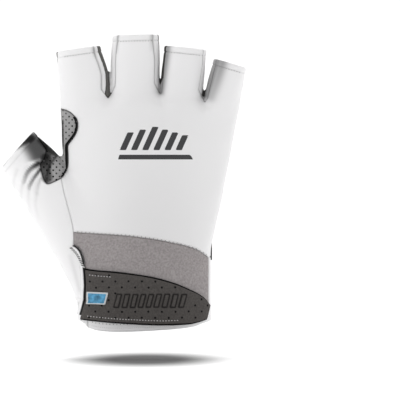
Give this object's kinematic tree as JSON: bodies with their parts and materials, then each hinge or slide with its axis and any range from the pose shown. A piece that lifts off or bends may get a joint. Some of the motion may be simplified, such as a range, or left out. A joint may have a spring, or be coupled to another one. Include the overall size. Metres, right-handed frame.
{
  "type": "half-finger fishing glove",
  "caption": "Right-hand half-finger fishing glove with a stretch back, a perforated leather palm, a wrist strap and a small hook clip.",
  "frame": {"origin": "centre of the wrist opening, at the lowest point of the hem on the back of the hand", "axes": "+Z from the wrist to the fingertips, +Y from the back of the hand to the palm, -X towards the thumb"},
  "size_m": [0.1323, 0.0446, 0.1615],
  "materials": {
    "white_fabric": "smooth white stretch knit",
    "palm_leather": "grey perforated synthetic leather",
    "patch_leather": "lighter grey perforated synthetic leather",
    "loop_fabric": "brushed loop pile",
    "strap_leather": "dark grey perforated synthetic leather",
    "black_fabric": "black woven tape and hook fabric",
    "black_plastic": "moulded black plastic",
    "label_cloth": "woven label"
  },
  "bodies": {
    "root": {"back_panel": "white_fabric", "palm_panel": "palm_leather", "thumb_panel": "white_fabric", "fourchette_index_middle": "white_fabric", "fourchette_middle_ring": "white_fabric", "fourchette_ring_pinky": "white_fabric", "crotch_patch": "patch_leather", "patch_edging": "black_fabric", "loop_panel": "loop_fabric", "wrist_hem": "white_fabric", "slit_binding": "white_fabric", "strap_backing": "black_fabric", "strap_face": "strap_leather", "label_tag": "label_cloth", "pull_tab_middle": "palm_leather", "pull_tab_ring": "palm_leather", "clip_webbing": "black_fabric", "clip_slider": "black_plastic", "clip_hook": "black_plastic"}
  },
  "joints": []
}
